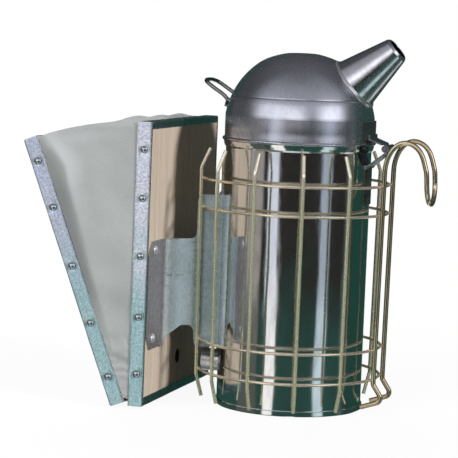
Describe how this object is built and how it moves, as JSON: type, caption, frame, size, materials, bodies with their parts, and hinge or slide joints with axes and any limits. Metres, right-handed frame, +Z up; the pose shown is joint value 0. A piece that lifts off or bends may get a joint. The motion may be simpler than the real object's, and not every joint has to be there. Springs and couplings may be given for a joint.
{
  "type": "bee smoker",
  "caption": "Bee smoker: round steel fire pot with hinged domed lid and angled spout, wire heat guard, hanging hook and wedge bellows on a folded bracket.",
  "frame": {"origin": "centre of the underside of the pot's base", "axes": "+Z up along the pot's axis, +X towards the front (spout, hanging hook and lid hinge), -X towards the bellows, +Y across"},
  "size_m": [0.2688, 0.1512, 0.2546],
  "materials": {
    "polished_steel": "mirror-polished stainless sheet with faint vertical streaks",
    "spun_steel": "satin spun stainless sheet",
    "grate_steel": "plain heat-darkened steel sheet",
    "yellow_zinc_wire": "steel wire, pale yellow zinc plating, satin",
    "bright_wire": "bright steel wire",
    "hinge_steel": "plated steel strip, satin",
    "galvanised_sheet": "galvanised sheet, satin with fine scratches",
    "galvanised_trim": "galvanised strip, mottled, satin",
    "rivet_steel": "bright domed steel",
    "nail_steel": "bright domed steel",
    "plywood": "bare light softwood plywood, fine vertical grain",
    "grey_leathercloth": "smooth light grey coated leathercloth, matt sheen",
    "spring_steel": "drawn spring wire",
    "valve_leather": "thin brown leather, matt"
  },
  "bodies": {
    "smoker_body": {"fire_pot": "polished_steel", "pot_base": "polished_steel", "air_inlet_tube": "spun_steel", "bellows_bracket": "galvanised_sheet", "board_screws": "rivet_steel", "saddle_rivets": "rivet_steel", "guard_rings": "yellow_zinc_wire", "guard_uprights": "yellow_zinc_wire", "hanging_hook": "yellow_zinc_wire", "hinge_lower_leaf": "hinge_steel", "hinge_pin": "hinge_steel", "front_board": "plywood", "front_side_trims": "galvanised_trim", "front_end_trims": "galvanised_trim", "front_trim_nails": "nail_steel", "bellows_skin": "grey_leathercloth", "bellows_spring": "spring_steel", "hinge_strip": "grey_leathercloth"},
    "lid": {"lid_dome": "spun_steel", "spout_cone": "spun_steel", "spout_collar": "spun_steel", "lid_handle": "bright_wire", "hinge_upper_leaf": "hinge_steel"},
    "bellows_back": {"back_board": "plywood", "back_side_trims": "galvanised_trim", "back_end_trims": "galvanised_trim", "back_trim_nails": "nail_steel", "valve_retainer": "galvanised_trim", "valve_tacks": "nail_steel"},
    "intake_flap": {"valve_flap": "valve_leather"},
    "grate": {"fire_grate": "grate_steel", "grate_legs": "grate_steel"}
  },
  "joints": [
    {"name": "lid_hinge", "type": "hinge", "parent": "smoker_body", "child": "lid", "pos_m": [0.063, 0, 0.181], "axis": [0, 1, 0], "range_deg": [0, 100]},
    {"name": "bellows_squeeze", "type": "hinge", "parent": "smoker_body", "child": "bellows_back", "pos_m": [-0.0933, 0, 0.0034], "axis": [0, 1, 0], "range_deg": [0, 14], "stiffness_Nm_per_rad": 2, "deforming": ["bellows_skin", "bellows_spring"]},
    {"name": "flap_swing", "type": "hinge", "parent": "bellows_back", "child": "intake_flap", "pos_m": [-0.1361, 0, 0.11291], "axis": [0, -1, 0], "range_deg": [0, 15]},
    {"name": "grate_lift", "type": "slide", "parent": "smoker_body", "child": "grate", "axis": [0, 0, 1], "range_m": [0, 0.13]}
  ]
}
